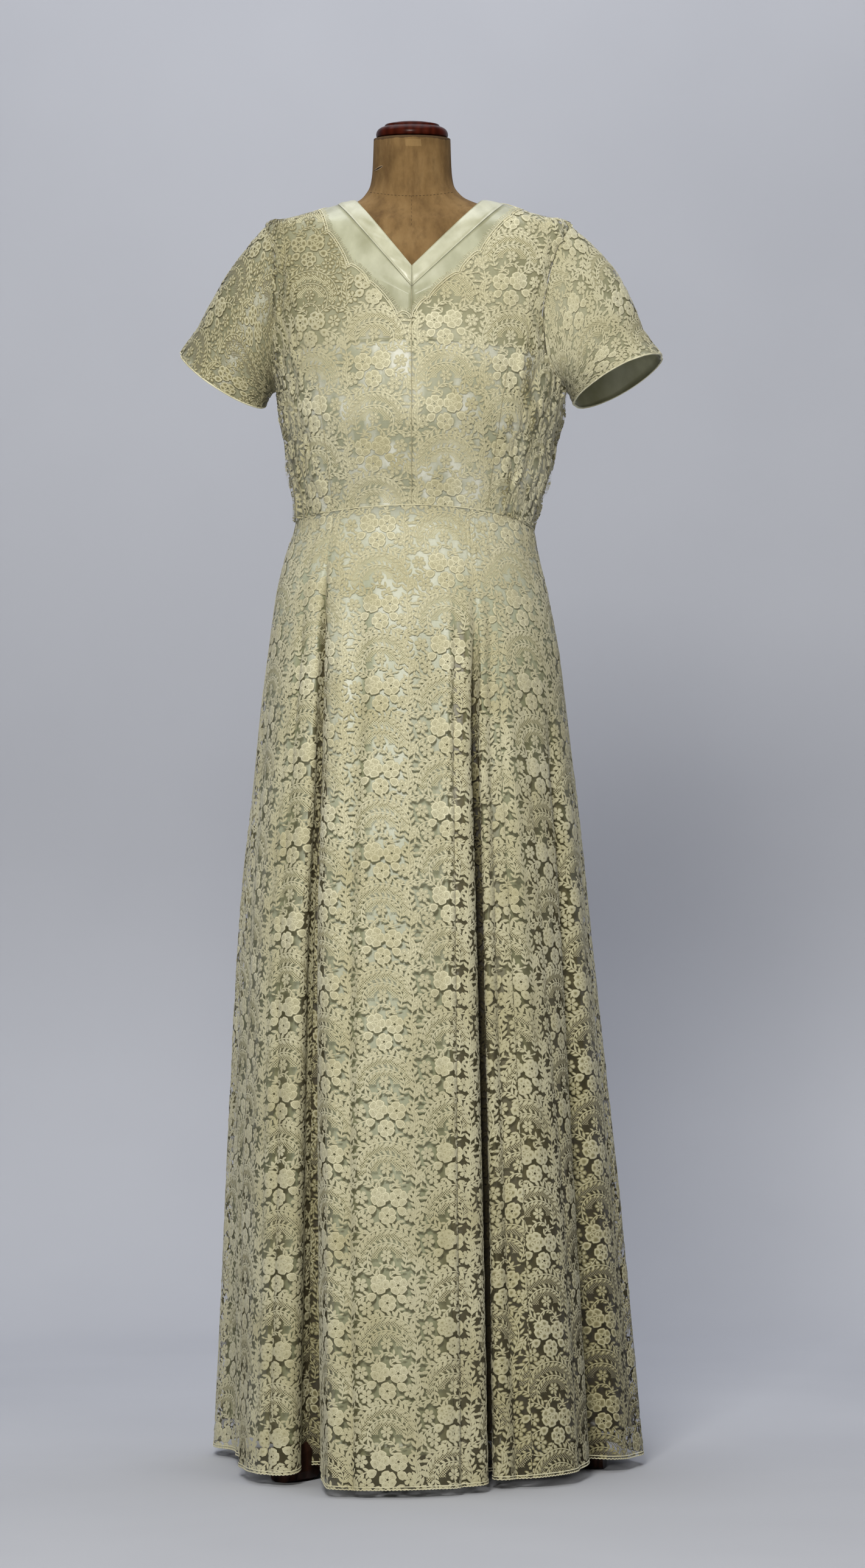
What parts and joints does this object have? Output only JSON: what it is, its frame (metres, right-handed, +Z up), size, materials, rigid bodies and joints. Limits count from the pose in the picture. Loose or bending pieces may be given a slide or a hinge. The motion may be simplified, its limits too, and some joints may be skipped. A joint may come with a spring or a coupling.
{
  "type": "floor-length lace gown on a dress form with a tripod stand",
  "caption": "Floor-length lace gown over satin, with short flared sleeves, a V neck and a gored, folded skirt, worn by a limbless canvas dress form on a wooden tripod stand.",
  "frame": {"origin": "centre of the bounding box's footprint, on the floor under the stand's feet", "axes": "+Z up; the gown's front faces -Y; +X is to the viewer's right"},
  "size_m": [0.5773, 0.6027, 1.6085],
  "materials": {
    "lace": "matt ecru floral lace on net",
    "satin": "soft shiny pale green satin",
    "canvas": "matt aged canvas",
    "wood": "polished red-brown mahogany",
    "dark_wood": "dark polished wood"
  },
  "bodies": {
    "root": {"lace_bodice_back": "lace", "lace_bodice_front_left": "lace", "lace_bodice_front_right": "lace", "lace_skirt_back": "lace", "lace_skirt_front": "lace", "lace_skirt_side_front_left": "lace", "lace_skirt_side_front_right": "lace", "lace_sleeve_left": "lace", "lace_sleeve_right": "lace", "neck_band_back": "satin", "neck_band_left": "satin", "neck_band_right": "satin", "satin_bodice_back": "satin", "satin_bodice_front_left": "satin", "satin_bodice_front_right": "satin", "satin_skirt_back": "satin", "satin_skirt_front": "satin", "satin_sleeve_left": "satin", "satin_sleeve_right": "satin", "satin_yoke_left": "satin", "satin_yoke_right": "satin", "form_torso": "canvas", "form_neck_cap": "wood", "stand_column": "dark_wood", "stand_leg_1": "dark_wood", "stand_leg_2": "dark_wood", "stand_leg_3": "dark_wood"}
  },
  "joints": []
}
